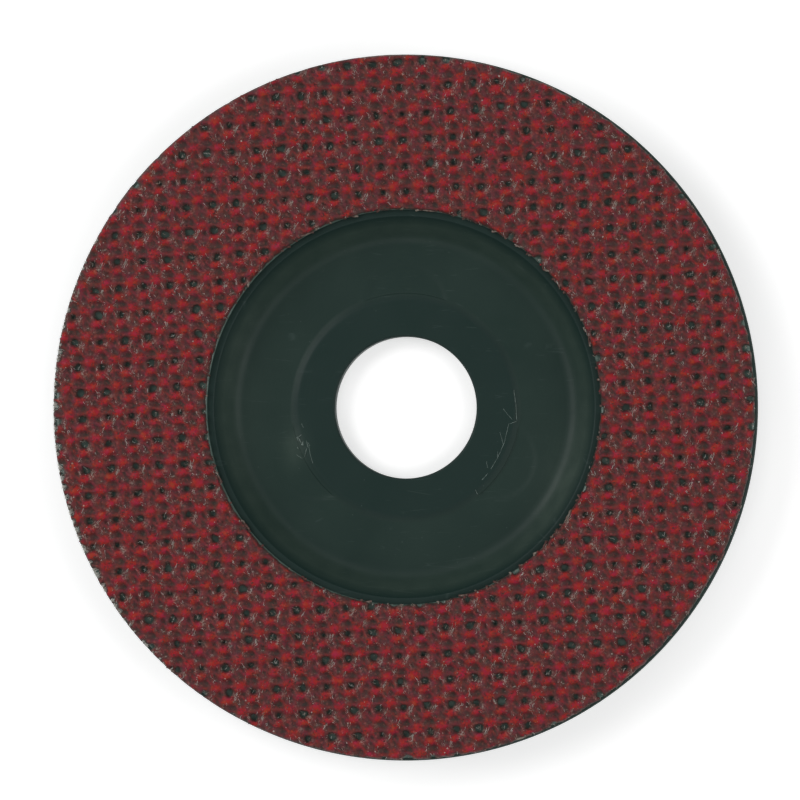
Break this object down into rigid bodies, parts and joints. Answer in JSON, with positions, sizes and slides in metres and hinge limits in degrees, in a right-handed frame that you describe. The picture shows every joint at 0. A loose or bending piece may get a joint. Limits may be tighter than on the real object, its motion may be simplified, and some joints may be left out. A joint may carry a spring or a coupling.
{
  "type": "angle grinder carving disc",
  "caption": "Round dished plastic plate with a central arbor hole and a ring of red grit-coated open net bonded to its face, for rasping wood with an angle grinder.",
  "frame": {"origin": "centre of the arbor hole, in the plane of the flat back of the hub", "axes": "+Z along the arbor axis, out of the working face and away from the grinder; +X and +Y in the plane of the disc, with one ejector mark on +Y"},
  "size_m": [0.11, 0.11, 0.0091],
  "materials": {
    "backing_plate": "glossy moulded green-black nylon with fine handling scratches",
    "bond_layer": "glossy dried adhesive, dark over the plate",
    "net_backing": "pale polyester yarn, knitted into an open net and stiffened by resin",
    "grit_coat": "deep red resin full of abrasive grain, satin with bright grain tips"
  },
  "bodies": {
    "root": {"backing_plate": "backing_plate", "bond_layer": "bond_layer", "net_backing": "net_backing", "grit_coat": "grit_coat"}
  },
  "joints": []
}
